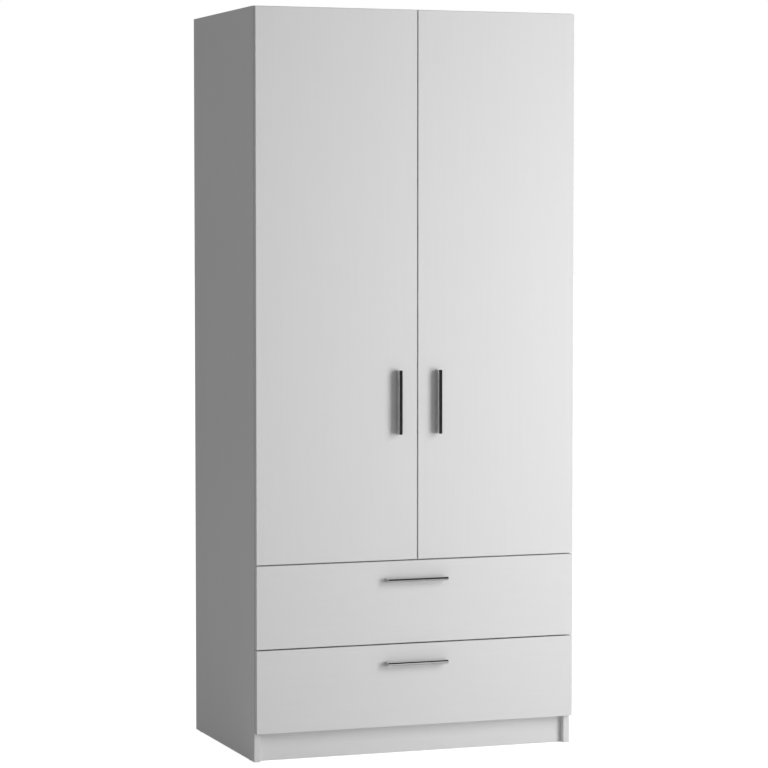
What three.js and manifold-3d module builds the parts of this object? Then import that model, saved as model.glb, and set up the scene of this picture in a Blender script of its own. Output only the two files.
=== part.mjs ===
// Wardrobe with two hinged doors above two full-width drawers, flat-pack board construction.
// Millimetres, +Z up, +X to the right, the doors face -Y. The origin is on the floor, at the
// middle of the overall width and depth.

import * as THREE from 'three';
import { mergeVertices } from 'three/addons/utils/BufferGeometryUtils.js';
import Module from 'manifold-3d';

const wasm = await Module();
wasm.setup();

// ---- driving dimensions ----
const WIDTH = 818;
const HEIGHT = 1800;
const CARCASS_DEPTH = 498;
const BOARD = 16;                 // board thickness of the carcass, doors and drawer fronts
const CLEAR = 0.2;                // gap between pieces that are fixed together
const DOOR_GAP = 2;               // gap between the fronts and the carcass
const REVEAL = 1;                 // the fronts stop this far inside the outer faces
const SLOT = 3;                   // gap between neighbouring fronts
const HANDLE = { length: 155, width: 10, reach: 25, round: 4 };

const GLIDE = { radius: 7.5, height: 1.2, inset: 40 };
const PLINTH = { top: 70.8, recess: 16.5 };
const BACK = { thickness: 3, inset: 10, groove: 6 };
const FRONTS_BOTTOM = 71;
const FRONTS_TOP = 1798;
const DRAWER_FRONT_HEIGHT = 199.5;
const FIXED_SHELF_BOTTOM = 466.5;
const HAT_SHELF = { bottom: 1544, front: 28 };
const RAIL = { height: 30, thickness: 15, wall: 1, centre: 1500, socketDepth: 12, endGap: 3 };

const DRAWER = { side: 12, height: 140, depth: 450, lift: 27, bottomUp: 8, bottom: 3, groove: 5 };
const RUNNER = { space: 12.5, sheet: 1.2, length: 450, rollerRadius: 10.5, pin: 2.2, bore: 2.6 };
const SCREW_HEAD = { radius: 3.4, proud: 1 };

// The rollers, from the drawer side's outer face outwards, and from the runner ends to the pins.
const ROLLER = { near: 2.5, far: 10, rim: 0.8, gap: 0.3, pinProud: 0.4, front: 13, rear: 14 };

// Both runner members are bent sheet. The drawer member carries the rear roller's pin, the
// cabinet member the front roller's pin. Offsets are from the foot of the drawer side's
// outer face, outwards and upwards.
const DRAWER_MEMBER = { inward: -12, foot: -0.3, wall: 0.3, track: 20.3, flange: 9 };
const CABINET_MEMBER = { near: 2.5, track: -2, wall: 11, roof: 24.3, lip: 3.5 };

const DOOR_HANDLE = { fromEdge: 49.5, up: 381.5 };
const DRAWER_HANDLE = { down: 45, shift: -6 };
const HINGE_HEIGHTS = { bottom: 100, middle: 661, top: 1222 };
const HINGE = { inset: 5.7, depth: 9, cupCentre: 19.6, pocket: 17.6 };
const CUP = { radius: 17.3, depth: 12, sheet: 0.6, lip: 0.6 };
const EAR = { inward: 9.5, reach: 22.5, radius: 6 };

// The hinge arm, inwards from the turning axis and backwards from it.
const NECK = { inner: 10.6, sheet: 1.6, knuckle: 1.9, bore: 1.2, pin: 0.9, halfHeight: 4.5 };
const PLATE = { face: 12, front: 36, back: 62, halfHeight: 24, screw: 16 };
const ARM = {
  face: 20.6, bend: 13, nose: 17, shoulder: 26, lap: 29, back: 74, halfHeight: 6,
  noseFace: 14, screws: [33, 62],
};

const SOCKET = { wall: 3, fit: 0.4, plate: 2.4 };
const BRACKET = { leg: 40, sheet: 2, hole: 2.8, down: 24 };

// How finely round stretches are divided: sides of a full circle, and steps of a curve.
const SIDES_OF = { drum: 12, knuckle: 16, puck: 16, roller: 20, cup: 24 };
const STEPS_OF = { shape: 6, oval: 5, ear: 4, handle: 3 };
const WELD = 1e-4;                // vertices closer than this are one

// ---- derived planes ----
const HALF = WIDTH / 2;
const INNER = HALF - BOARD;
const TOTAL_DEPTH = HANDLE.reach + BOARD + DOOR_GAP + CARCASS_DEPTH;
const BACK_Y = TOTAL_DEPTH / 2;
const CARCASS_FRONT = BACK_Y - CARCASS_DEPTH;
const FRONTS_BACK = CARCASS_FRONT - DOOR_GAP;
const FRONTS_FACE = FRONTS_BACK - BOARD;
const BACK_PANEL_Y = BACK_Y - BACK.inset - BACK.thickness;
const DOOR_BOTTOM = FRONTS_BOTTOM + 2 * (DRAWER_FRONT_HEIGHT + SLOT);
const DOOR_HEIGHT = FRONTS_TOP - DOOR_BOTTOM;
const DOOR_WIDTH = HALF - REVEAL - SLOT / 2;
const HINGE_Y = FRONTS_BACK - HINGE.depth;
const HINGE_X = HALF - REVEAL - HINGE.inset;

// ---- materials ----
function material(color, roughness, metalness) {
  return new THREE.MeshStandardMaterial({ color, roughness, metalness });
}
const whiteBoard = material(0xe9e9e7, 0.45, 0);
const hardboard = material(0xe3e1dc, 0.6, 0);
const chrome = material(0xd5d7da, 0.12, 1);
const steel = material(0xb9bcc0, 0.3, 1);
const whiteSteel = material(0xf0f0ee, 0.4, 0.2);
const whitePlastic = material(0xeeeeec, 0.5, 0);
const greyPlastic = material(0x8f9194, 0.5, 0);

// ---- solids ----
const X = new THREE.Vector3(1, 0, 0);
const Y = new THREE.Vector3(0, 1, 0);
const Z = new THREE.Vector3(0, 0, 1);
// An outline is drawn in the two axes that follow the extrusion axis in the order x, y, z.
const ALONG = {
  x: new THREE.Matrix4().makeBasis(Y, Z, X),
  y: new THREE.Matrix4().makeBasis(Z, X, Y),
  z: new THREE.Matrix4(),
};

function outline(points) {
  return new THREE.Shape(points.map(([a, b]) => new THREE.Vector2(a, b)));
}

function extrude(shape, from, to, axis, curveSegments = STEPS_OF.shape) {
  const options = { depth: to - from, bevelEnabled: false, curveSegments };
  const geometry = new THREE.ExtrudeGeometry(shape, options);
  geometry.translate(0, 0, from);
  return geometry.applyMatrix4(ALONG[axis]);
}

function drum(radius, from, to, axis, sides = SIDES_OF.drum) {
  const circle = new THREE.Shape().absarc(0, 0, radius, 0, 2 * Math.PI);
  return extrude(circle, from, to, axis, sides / 2);
}

function solidOf(geometry) {
  const bare = geometry.clone();
  bare.deleteAttribute('normal');
  bare.deleteAttribute('uv');
  const merged = mergeVertices(bare, WELD);
  const vertProperties = Float32Array.from(merged.getAttribute('position').array);
  const triVerts = Uint32Array.from(merged.getIndex().array);
  return new wasm.Manifold(new wasm.Mesh({ numProp: 3, vertProperties, triVerts }));
}

function geometryOf(solid) {
  const { vertProperties, triVerts } = solid.getMesh();
  const geometry = new THREE.BufferGeometry();
  geometry.setAttribute('position', new THREE.BufferAttribute(vertProperties, 3));
  geometry.setIndex(new THREE.BufferAttribute(triVerts, 1));
  geometry.computeVertexNormals();
  return geometry;
}

function join(...geometries) {
  return geometryOf(geometries.map(solidOf).reduce((sum, next) => sum.add(next)));
}

function cut(body, ...tools) {
  return geometryOf(tools.map(solidOf).reduce((rest, tool) => rest.subtract(tool), solidOf(body)));
}

function piece(name, geometry, mat, position = [0, 0, 0]) {
  const mesh = new THREE.Mesh(geometry, mat);
  mesh.name = name;
  mesh.position.set(...position);
  return mesh;
}

// A plain board between two opposite corners.
function board(name, low, high, mat = whiteBoard) {
  const size = high.map((value, i) => value - low[i]);
  const centre = high.map((value, i) => (value + low[i]) / 2);
  return piece(name, new THREE.BoxGeometry(...size), mat, centre);
}

function group(...children) {
  const result = new THREE.Group();
  result.add(...children);
  return result;
}

const SIDES = [['left', -1], ['right', 1]];

// ---- carcass ----
// Each side panel has a groove for the back panel near its rear edge.
function sidePanel(side, sign) {
  const inner = sign * INNER;
  const outer = sign * HALF;
  const floor = sign * (INNER + BACK.groove);
  const grooveFront = BACK_PANEL_Y - CLEAR;
  const grooveBack = BACK_PANEL_Y + BACK.thickness + CLEAR;
  const plan = outline([
    [inner, CARCASS_FRONT], [outer, CARCASS_FRONT], [outer, BACK_Y], [inner, BACK_Y],
    [inner, grooveBack], [floor, grooveBack], [floor, grooveFront], [inner, grooveFront],
  ]);
  return piece(`${side}_side_panel`, extrude(plan, GLIDE.height, HEIGHT, 'z'), whiteBoard);
}

// The top panel lies between the sides and holds the back panel's upper edge in a groove.
function topPanel() {
  const under = HEIGHT - BOARD;
  const roof = under + BACK.groove;
  const grooveFront = BACK_PANEL_Y - CLEAR;
  const grooveBack = BACK_PANEL_Y + BACK.thickness + CLEAR;
  const section = outline([
    [CARCASS_FRONT, under], [grooveFront, under], [grooveFront, roof], [grooveBack, roof],
    [grooveBack, under], [BACK_Y, under], [BACK_Y, HEIGHT], [CARCASS_FRONT, HEIGHT],
  ]);
  const reach = INNER - CLEAR;
  return piece('top_panel', extrude(section, -reach, reach, 'x'), whiteBoard);
}

function innerBoard(name, bottom, front) {
  const reach = INNER - CLEAR;
  return board(name, [-reach, front, bottom], [reach, BACK_PANEL_Y - CLEAR, bottom + BOARD]);
}

function plinthBoard() {
  const reach = INNER - CLEAR;
  const front = CARCASS_FRONT + PLINTH.recess;
  return board('plinth_board', [-reach, front, GLIDE.height], [reach, front + BOARD, PLINTH.top]);
}

function backPanel() {
  const reach = INNER + BACK.groove - CLEAR;
  const low = [-reach, BACK_PANEL_Y, FRONTS_BOTTOM];
  const high = [reach, BACK_PANEL_Y + BACK.thickness, HEIGHT - BOARD + BACK.groove - CLEAR];
  return board('back_panel', low, high, hardboard);
}

function floorGlides() {
  const rows = [['front', CARCASS_FRONT + GLIDE.inset], ['rear', BACK_Y - GLIDE.inset]];
  return rows.flatMap(([row, y]) => SIDES.map(([side, sign]) => {
    const x = sign * (HALF - BOARD / 2);
    const puck = drum(GLIDE.radius, 0, GLIDE.height - CLEAR, 'z', SIDES_OF.puck);
    return piece(`floor_glide_${row}_${side}`, puck, greyPlastic, [x, y, 0]);
  }));
}

// A flattened oval, wider along its second axis, as used for the rail and its sockets.
function oval(width, height) {
  const radius = width / 2;
  const straight = height / 2 - radius;
  const shape = new THREE.Shape();
  shape.absarc(0, straight, radius, 0, Math.PI);
  shape.absarc(0, -straight, radius, Math.PI, 2 * Math.PI);
  shape.closePath();
  return shape;
}

function hangingRail() {
  const tube = oval(RAIL.thickness, RAIL.height);
  tube.holes.push(oval(RAIL.thickness - 2 * RAIL.wall, RAIL.height - 2 * RAIL.wall));
  const reach = INNER - RAIL.endGap;
  const solid = extrude(tube, -reach, reach, 'x', STEPS_OF.oval);
  return piece('hanging_rail', solid, chrome, [0, 0, RAIL.centre]);
}

// A cup on the side panel that is open above, so that the rail drops in.
function railSocket(side, sign) {
  const { wall, fit, plate } = SOCKET;
  const width = RAIL.thickness + 2 * (wall + fit);
  const height = RAIL.height + 2 * (wall + fit);
  const ends = [sign * (INNER - CLEAR), sign * (INNER - RAIL.socketDepth)].sort((a, b) => a - b);
  const plateFace = sign * (INNER - CLEAR - plate);
  const hollow = [plateFace, sign * (INNER - 2 * RAIL.socketDepth)].sort((a, b) => a - b);
  const outer = extrude(oval(width, height), ...ends, 'x', STEPS_OF.oval);
  const bore = oval(RAIL.thickness + 2 * fit, RAIL.height + 2 * fit);
  const bed = extrude(bore, ...hollow, 'x', STEPS_OF.oval);
  const half = RAIL.thickness / 2 + fit;
  const mouth = extrude(outline([[-half, 0], [half, 0], [half, height], [-half, height]]),
    ...hollow, 'x');
  return piece(`rail_socket_${side}`, cut(outer, bed, mouth), steel, [0, 0, RAIL.centre]);
}

// A steel angle in the rear upper corner that a wall screw passes through.
function wallBracket() {
  const { leg, sheet, hole, down } = BRACKET;
  const top = HEIGHT - BOARD - CLEAR;
  const back = BACK_PANEL_Y - CLEAR;
  const section = outline([
    [back, top], [back - leg, top], [back - leg, top - sheet],
    [back - sheet, top - sheet], [back - sheet, top - leg], [back, top - leg],
  ]);
  const angle = extrude(section, -leg / 2, leg / 2, 'x');
  const drill = drum(hole, -leg, leg, 'y').translate(0, back, top - down);
  return piece('wall_bracket', cut(angle, drill), steel);
}

// ---- concealed hinges ----
// Each is drawn about its own turning axis: i runs inwards from the axis, y runs to the back.
function hingeArm(name, sign, height) {
  const plan = (points) => outline(points.map(([i, y]) => [-sign * i, y]));
  const half = NECK.sheet / 2;
  const outer = NECK.inner + NECK.sheet;
  const panelFace = HINGE_X - INNER + CLEAR;
  const neck = plan([
    [0, -half], [outer - half, -half], [outer, half], [outer, ARM.bend], [ARM.face, ARM.shoulder],
    [ARM.face, ARM.lap], [NECK.inner, ARM.lap], [NECK.inner, half], [0, half],
  ]);
  const arm = plan([
    [NECK.inner, ARM.nose], [ARM.noseFace, ARM.nose], [ARM.face, ARM.shoulder],
    [ARM.face, ARM.back - NECK.sheet], [ARM.face - NECK.sheet, ARM.back], [NECK.inner, ARM.back],
  ]);
  const plate = plan([
    [panelFace, PLATE.front], [PLATE.face, PLATE.front],
    [PLATE.face, PLATE.back], [panelFace, PLATE.back],
  ]);
  const parts = [
    drum(NECK.knuckle, -NECK.halfHeight, NECK.halfHeight, 'z', SIDES_OF.knuckle),
    extrude(neck, -NECK.halfHeight, NECK.halfHeight, 'z'),
    extrude(arm, -ARM.halfHeight, ARM.halfHeight, 'z'),
    extrude(plate, -PLATE.halfHeight, PLATE.halfHeight, 'z'),
  ];
  const middle = (PLATE.front + PLATE.back) / 2;
  const screws = [[middle, PLATE.screw, PLATE.face], [middle, -PLATE.screw, PLATE.face],
    ...ARM.screws.map((y) => [y, 0, ARM.face])];
  const { radius, proud } = SCREW_HEAD;
  for (const [y, z, face] of screws) {
    const ends = [-sign * (face - proud), -sign * (face + proud)].sort((a, b) => a - b);
    parts.push(drum(radius, ...ends, 'x').translate(0, y, z));
  }
  const bore = drum(NECK.bore, -2 * NECK.halfHeight, 2 * NECK.halfHeight, 'z');
  return piece(name, cut(join(...parts), bore), steel, [sign * HINGE_X, HINGE_Y, height]);
}

// The cup sits in a blind pocket in the door's back face and carries the pin.
function hingeCup(name, sign, height) {
  const centre = HINGE.cupCentre - HINGE.inset;
  const inner = CUP.radius - CUP.sheet;
  const low = HINGE.depth - CUP.depth;
  const rim = { low: HINGE.depth + CLEAR, high: HINGE.depth + CLEAR + CUP.sheet };
  const lip = CUP.radius + CUP.lip;
  const profile = [
    [0, low], [CUP.radius, low], [CUP.radius, rim.low], [lip, rim.low],
    [lip, rim.high], [inner, rim.high], [inner, low + CUP.sheet], [0, low + CUP.sheet],
  ].map(([r, y]) => new THREE.Vector2(r, y));
  const cup = new THREE.LatheGeometry(profile, SIDES_OF.cup).translate(-sign * centre, 0, 0);
  const earX = -sign * (centre + EAR.inward);
  const wing = new THREE.Shape();
  wing.absarc(EAR.reach, earX, EAR.radius, -Math.PI / 2, Math.PI / 2);
  wing.absarc(-EAR.reach, earX, EAR.radius, Math.PI / 2, 1.5 * Math.PI);
  wing.closePath();
  const hollow = drum(inner, low + CUP.sheet, rim.high + CUP.sheet, 'y', SIDES_OF.cup)
    .translate(-sign * centre, 0, 0);
  const parts = [cup, cut(extrude(wing, rim.low, rim.high, 'y', STEPS_OF.ear), hollow)];
  const { radius, proud } = SCREW_HEAD;
  for (const end of [-1, 1]) {
    parts.push(drum(radius, rim.low, rim.high + proud, 'y').translate(earX, 0, end * EAR.reach));
  }
  const pinReach = CUP.radius - CUP.sheet / 3;      // the pin's ends lie within the cup's wall
  const chord = Math.sqrt(pinReach ** 2 - (centre + NECK.pin) ** 2);
  parts.push(drum(NECK.pin, -chord, chord, 'z'));
  return piece(name, join(...parts), steel, [sign * HINGE_X, HINGE_Y, height]);
}

// ---- handles ----
// A bar that stands on the front with its long front edges rounded. It runs along its own Z.
function handleGeometry() {
  const { length, width, reach, round } = HANDLE;
  const half = width / 2;
  const section = new THREE.Shape();
  section.moveTo(half, -CLEAR);
  section.lineTo(-half, -CLEAR);
  section.absarc(round - half, round - reach, round, Math.PI, 1.5 * Math.PI);
  section.absarc(half - round, round - reach, round, 1.5 * Math.PI, 2 * Math.PI);
  section.closePath();
  return extrude(section, -length / 2, length / 2, 'z', STEPS_OF.handle);
}

function verticalHandle(name, x, z) {
  return piece(name, handleGeometry(), chrome, [x, FRONTS_FACE, z]);
}

function horizontalHandle(name, x, z) {
  const handle = verticalHandle(name, x, z);
  handle.rotation.y = Math.PI / 2;
  return handle;
}

// ---- doors ----
function door(side, sign) {
  const free = sign * SLOT / 2;
  const hinged = free + sign * DOOR_WIDTH;
  const [x0, x1] = [free, hinged].sort((a, b) => a - b);
  const slab = extrude(outline([[x0, FRONTS_FACE], [x1, FRONTS_FACE], [x1, FRONTS_BACK],
    [x0, FRONTS_BACK]]), DOOR_BOTTOM, FRONTS_TOP, 'z');
  const heights = Object.entries(HINGE_HEIGHTS).map(([key, up]) => [key, DOOR_BOTTOM + up]);
  const pocketX = hinged - sign * HINGE.cupCentre;
  const pocketEnds = [FRONTS_BACK - CUP.depth - CLEAR, FRONTS_BACK + CLEAR];
  const pockets = heights.map(([, z]) => drum(HINGE.pocket, ...pocketEnds, 'y', SIDES_OF.cup)
    .translate(pocketX, 0, z));
  return group(
    piece(`${side}_door_panel`, cut(slab, ...pockets), whiteBoard),
    ...heights.map(([key, z]) => hingeCup(`hinge_cup_${side}_${key}`, sign, z)),
    verticalHandle(`${side}_door_handle`, free + sign * DOOR_HANDLE.fromEdge,
      DOOR_BOTTOM + DOOR_HANDLE.up),
  );
}

function hingeArms() {
  return SIDES.flatMap(([side, sign]) => Object.entries(HINGE_HEIGHTS).map(([key, up]) =>
    hingeArm(`hinge_arm_${side}_${key}`, sign, DOOR_BOTTOM + up)));
}

// ---- drawers ----
const BOX_HALF = INNER - RUNNER.space;          // outer face of the drawer's side board
const BOX_FRONT = FRONTS_BACK + CLEAR;
const BOX_BACK = BOX_FRONT + DRAWER.depth;

function drawerSide(name, sign, z0) {
  const outer = sign * BOX_HALF;
  const inner = sign * (BOX_HALF - DRAWER.side);
  const floor = inner + sign * DRAWER.groove;
  const low = z0 + DRAWER.bottomUp;
  const high = low + DRAWER.bottom + 2 * CLEAR;
  const top = z0 + DRAWER.height;
  const section = outline([
    [z0, inner], [z0, outer], [top, outer], [top, inner],
    [high, inner], [high, floor], [low, floor], [low, inner],
  ]);
  return piece(name, extrude(section, BOX_FRONT, BOX_BACK, 'y'), whiteBoard);
}

const SHEET = RUNNER.sheet;

function drawerMember() {
  const { inward, foot, wall, track, flange } = DRAWER_MEMBER;
  return [
    [inward, foot - SHEET], [wall + SHEET, foot - SHEET], [wall + SHEET, track], [flange, track],
    [flange, track + SHEET], [wall, track + SHEET], [wall, foot], [inward, foot],
  ];
}

function cabinetMember() {
  const { near, track, wall, roof, lip } = CABINET_MEMBER;
  return [
    [near, track - SHEET], [wall + SHEET, track - SHEET], [wall + SHEET, roof + SHEET],
    [lip, roof + SHEET], [lip, roof], [wall, roof], [wall, track], [near, track],
  ];
}

const CABINET_RUNNER_FRONT = CARCASS_FRONT + 2;
const REAR_ROLLER = {
  y: BOX_BACK - ROLLER.rear,
  up: CABINET_MEMBER.track + RUNNER.rollerRadius + ROLLER.gap,
};
const FRONT_ROLLER = {
  y: CABINET_RUNNER_FRONT + ROLLER.front,
  up: DRAWER_MEMBER.track - RUNNER.rollerRadius - ROLLER.gap,
};

function runner(name, sign, z0, points, ends, roller, pinEnds) {
  const section = outline(points.map(([out, up]) => [z0 + up, sign * (BOX_HALF + out)]));
  const pinSpan = pinEnds.map((out) => sign * (BOX_HALF + out)).sort((a, b) => a - b);
  const pin = drum(RUNNER.pin, ...pinSpan, 'x').translate(0, roller.y, z0 + roller.up);
  return piece(name, join(extrude(section, ...ends, 'y'), pin), whiteSteel);
}

function drawerRunner(name, sign, z0) {
  const ends = [BOX_FRONT, BOX_FRONT + RUNNER.length];
  const pinEnds = [DRAWER_MEMBER.wall + SHEET / 2, ROLLER.far + ROLLER.pinProud];
  return runner(name, sign, z0, drawerMember(), ends, REAR_ROLLER, pinEnds);
}

function cabinetRunner(name, sign, z0) {
  const ends = [CABINET_RUNNER_FRONT, CABINET_RUNNER_FRONT + RUNNER.length];
  const pinEnds = [ROLLER.near - ROLLER.pinProud, CABINET_MEMBER.wall + SHEET / 2];
  return runner(name, sign, z0, cabinetMember(), ends, FRONT_ROLLER, pinEnds);
}

function roller(name, sign, z0, place) {
  const half = (ROLLER.far - ROLLER.near) / 2;
  const { bore, rollerRadius: tread } = RUNNER;
  const { rim } = ROLLER;
  const profile = [
    [bore, -half], [tread - rim, -half], [tread, -half + rim],
    [tread, half - rim], [tread - rim, half], [bore, half], [bore, -half],
  ].map(([r, y]) => new THREE.Vector2(r, y));
  const wheel = piece(name, new THREE.LatheGeometry(profile, SIDES_OF.roller), whitePlastic,
    [sign * (BOX_HALF + ROLLER.near + half), place.y, z0 + place.up]);
  wheel.rotation.z = Math.PI / 2;
  return wheel;
}

function drawer(level, frontBottom) {
  const z0 = frontBottom + DRAWER.lift;
  const inside = BOX_HALF - DRAWER.side;
  const floor = z0 + DRAWER.bottomUp + CLEAR;
  const front = HALF - REVEAL;
  const bottomReach = inside + DRAWER.groove - CLEAR;
  const backFace = BOX_BACK - DRAWER.side;
  const backFoot = floor + DRAWER.bottom + CLEAR;
  return group(
    board(`${level}_drawer_front`, [-front, FRONTS_FACE, frontBottom],
      [front, FRONTS_BACK, frontBottom + DRAWER_FRONT_HEIGHT]),
    ...SIDES.map(([side, sign]) => drawerSide(`${level}_drawer_side_${side}`, sign, z0)),
    board(`${level}_drawer_back`, [-inside + CLEAR, backFace, backFoot],
      [inside - CLEAR, BOX_BACK, z0 + DRAWER.height]),
    board(`${level}_drawer_bottom`, [-bottomReach, BOX_FRONT, floor],
      [bottomReach, BOX_BACK, floor + DRAWER.bottom], hardboard),
    ...SIDES.map(([side, sign]) => drawerRunner(`${level}_drawer_runner_${side}`, sign, z0)),
    horizontalHandle(`${level}_drawer_handle`, DRAWER_HANDLE.shift,
      frontBottom + DRAWER_FRONT_HEIGHT - DRAWER_HANDLE.down),
  );
}

function drawerHardware(level, frontBottom) {
  const z0 = frontBottom + DRAWER.lift;
  return group(...SIDES.flatMap(([side, sign]) => [
    cabinetRunner(`${level}_cabinet_runner_${side}`, sign, z0),
    roller(`${level}_front_roller_${side}`, sign, z0, FRONT_ROLLER),
    roller(`${level}_rear_roller_${side}`, sign, z0, REAR_ROLLER),
  ]));
}

// ---- assembly ----
const LEVELS = [['lower', FRONTS_BOTTOM], ['upper', FRONTS_BOTTOM + DRAWER_FRONT_HEIGHT + SLOT]];

const wardrobe = group(
  ...SIDES.map(([side, sign]) => sidePanel(side, sign)),
  topPanel(),
  innerBoard('fixed_shelf', FIXED_SHELF_BOTTOM, CARCASS_FRONT),
  innerBoard('bottom_panel', FRONTS_BOTTOM, CARCASS_FRONT),
  plinthBoard(),
  backPanel(),
  innerBoard('hat_shelf', HAT_SHELF.bottom, CARCASS_FRONT + HAT_SHELF.front),
  hangingRail(),
  ...SIDES.map(([side, sign]) => railSocket(side, sign)),
  ...floorGlides(),
  wallBracket(),
  ...hingeArms(),
  ...SIDES.map(([side, sign]) => door(side, sign)),
  ...LEVELS.map(([level, bottom]) => drawer(level, bottom)),
  ...LEVELS.map(([level, bottom]) => drawerHardware(level, bottom)),
);

export default wardrobe;
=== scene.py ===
"""White flat-pack wardrobe: two hinged doors over two full-width drawers.

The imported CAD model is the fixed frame. This script gives its boards their edge bands and drilled
holes, adds the small fittings, makes every material, and sets the floor, lights and camera.
All lengths are in metres in the frame's own axes: +X right, +Y back, +Z up, doors face -Y.
"""

import math
import random

import bmesh
import bpy
from mathutils import Matrix, Vector


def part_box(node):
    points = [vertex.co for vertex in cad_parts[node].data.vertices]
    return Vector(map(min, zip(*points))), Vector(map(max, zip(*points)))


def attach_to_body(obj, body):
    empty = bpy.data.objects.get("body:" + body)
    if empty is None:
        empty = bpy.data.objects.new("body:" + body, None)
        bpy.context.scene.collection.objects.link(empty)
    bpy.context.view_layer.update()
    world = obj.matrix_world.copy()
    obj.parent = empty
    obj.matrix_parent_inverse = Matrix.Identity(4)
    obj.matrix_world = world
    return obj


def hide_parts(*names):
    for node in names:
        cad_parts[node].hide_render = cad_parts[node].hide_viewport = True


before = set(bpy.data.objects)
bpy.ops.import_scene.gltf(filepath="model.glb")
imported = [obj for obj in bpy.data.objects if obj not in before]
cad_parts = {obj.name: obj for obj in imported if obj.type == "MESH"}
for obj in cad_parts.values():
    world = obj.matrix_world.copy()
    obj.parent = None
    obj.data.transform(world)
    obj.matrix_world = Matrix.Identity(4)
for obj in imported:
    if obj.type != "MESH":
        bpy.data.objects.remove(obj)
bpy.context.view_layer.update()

MM = 0.001
SIDES = (("left", -1), ("right", 1))
LEVELS = ("lower", "upper")
ROWS = ("front", "rear")
HINGE_PLACES = ("bottom", "middle", "top")
scene = bpy.context.scene
rng = random.Random(7)

CARCASS_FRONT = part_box("left_side_panel")[0].y
CARCASS_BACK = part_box("left_side_panel")[1].y
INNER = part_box("right_side_panel")[0].x  # inner face of the right side panel
DOOR_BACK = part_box("left_door_panel")[1].y


# ---------------------------------------------------------------- camera, light and floor
LENS = 138.0                             # millimetres on a 36 mm sensor
CAMERA_AT = Vector((-2.482, CARCASS_FRONT - 6.665, 1.287))
CAMERA_YAW = math.radians(19.82)
CAMERA_DOWN = math.radians(3.12)
WORLD_FILL = 0.322                       # what the shaded side sees
WORLD_DARK = 0.03                        # what polished metal mirrors level with it and above
WHITE_BELOW = -0.10                      # and it mirrors white where its rays dip lower than this
LAMPS = (                                # name, place, aim, width, height, watts
    ("key", (1.55, -2.35, 1.40), (0.0, -0.25, 1.40), 1.1, 2.1, 41.0),
    ("low_key", (1.50, -2.35, 0.22), (0.0, -0.25, 0.22), 1.1, 0.36, 9.5),
    ("back_soft", (1.6, 3.4, 3.2), (0.2, 0.2, 1.0), 2.4, 2.4, 62.0),
)
FLOOR_REACH = 60.0
FLOOR_GLOW = 0.78                        # makes the floor that is seen plain white
BOUNCE_REACH = 8.0
BOUNCE_LEVEL = -0.5 * MM


def make_camera():
    data = bpy.data.cameras.new("camera")
    data.lens = LENS
    data.sensor_width = 36.0
    camera = bpy.data.objects.new("camera", data)
    camera.location = CAMERA_AT
    camera.rotation_euler = (math.pi / 2 - CAMERA_DOWN, 0.0, -CAMERA_YAW)
    scene.collection.objects.link(camera)
    scene.camera = camera


def area_light(name, at, aim, width, height, watts):
    data = bpy.data.lights.new(name, "AREA")
    data.shape = "RECTANGLE"
    data.size = width
    data.size_y = height
    data.energy = watts
    lamp = bpy.data.objects.new(name, data)
    lamp.location = at
    direction = Vector(aim) - Vector(at)
    lamp.rotation_euler = direction.to_track_quat("-Z", "Y").to_euler()
    scene.collection.objects.link(lamp)
    return lamp


def make_lights():
    """A tall softbox front right, a low one under it, and a soft one behind for the back."""
    lamps = {}
    for name, at, aim, width, height, watts in LAMPS:
        lamp = area_light(name, at, aim, width, height, watts)
        lamp.visible_glossy = False      # polished metal mirrors a dark room, not the lamps
        lamps[name] = lamp
    return lamps


def shield_floor(lamp, floors):
    """Keeps one lamp off the floor, so that none of its light bounces up the shaded side."""
    shielded = bpy.data.collections.new("shielded_floor")
    for floor in floors:
        shielded.objects.link(floor)
    for entry in shielded.collection_objects:
        entry.light_linking.link_state = "EXCLUDE"
    lamp.light_linking.receiver_collection = shielded


def make_world():
    """White behind the object and a dim even fill. Reflections see white low down, dark above."""
    world = bpy.data.worlds.new("studio")
    world.use_nodes = True
    nodes, links = world.node_tree.nodes, world.node_tree.links
    nodes.clear()
    ray = nodes.new("ShaderNodeLightPath")
    fill, dark, white = [nodes.new("ShaderNodeBackground") for _ in range(3)]
    for node, value in ((fill, WORLD_FILL), (dark, WORLD_DARK), (white, 1.0)):
        node.inputs["Color"].default_value = (value, value, value, 1.0)
    direction = nodes.new("ShaderNodeTexCoord")
    split = nodes.new("ShaderNodeSeparateXYZ")
    below = nodes.new("ShaderNodeMath")
    below.operation = "LESS_THAN"
    below.inputs[1].default_value = WHITE_BELOW
    links.new(direction.outputs["Generated"], split.inputs[0])
    links.new(split.outputs["Z"], below.inputs[0])

    def mix(fac, first, second):
        shader = nodes.new("ShaderNodeMixShader")
        links.new(fac, shader.inputs[0])
        links.new(first, shader.inputs[1])
        links.new(second, shader.inputs[2])
        return shader.outputs[0]

    mirrored = mix(below.outputs[0], dark.outputs[0], white.outputs[0])
    lit = mix(ray.outputs["Is Glossy Ray"], fill.outputs[0], mirrored)
    out = nodes.new("ShaderNodeOutputWorld")
    links.new(mix(ray.outputs["Is Camera Ray"], lit, white.outputs[0]), out.inputs[0])
    scene.world = world


def plain_material(name, grey, glow=0.0):
    """Matt grey without any gloss, which may give off light of its own."""
    mat = bpy.data.materials.new(name)
    mat.use_nodes = True
    shader = mat.node_tree.nodes["Principled BSDF"]
    shader.inputs["Base Color"].default_value = (grey, grey, grey, 1.0)
    shader.inputs["Roughness"].default_value = 0.9
    shader.inputs["Specular IOR Level"].default_value = 0.0
    shader.inputs["Emission Color"].default_value = (1.0, 1.0, 1.0, 1.0)
    shader.inputs["Emission Strength"].default_value = glow
    return mat


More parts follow.
